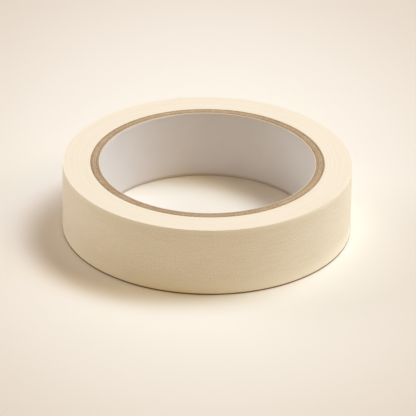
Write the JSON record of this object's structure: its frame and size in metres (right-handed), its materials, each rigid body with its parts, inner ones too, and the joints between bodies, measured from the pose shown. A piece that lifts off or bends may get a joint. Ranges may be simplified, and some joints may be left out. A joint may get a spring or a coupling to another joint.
{
  "type": "masking tape roll",
  "caption": "Roll of creped paper masking tape wound on a spiral-wound paper core, with a loose end that peels off the roll.",
  "frame": {"origin": "on the axis of the core, in the plane of the face that the roll lies on", "axes": "+Z along the core's axis, up out of the roll; the loose end is at +Y, the back"},
  "size_m": [0.1025, 0.1025, 0.0254],
  "materials": {
    "liner_paper": "matte",
    "core_board": "matte",
    "kraft_paper": "matte",
    "crepe_paper": "matte",
    "adhesive": "satin"
  },
  "bodies": {
    "roll": {"core_liner": "liner_paper", "core_ply_1": "core_board", "core_ply_2": "core_board", "core_ply_3": "core_board", "core_outer_ply": "kraft_paper", "tape_roll": "crepe_paper"},
    "loose_end": {"tape_end": "crepe_paper", "tape_end_adhesive": "adhesive"}
  },
  "joints": [
    {"name": "tape_end_peel", "type": "hinge", "parent": "roll", "child": "loose_end", "pos_m": [0.00712, 0.05084, 0.0127], "axis": [0, 0, -1], "range_deg": [0, 135]}
  ]
}
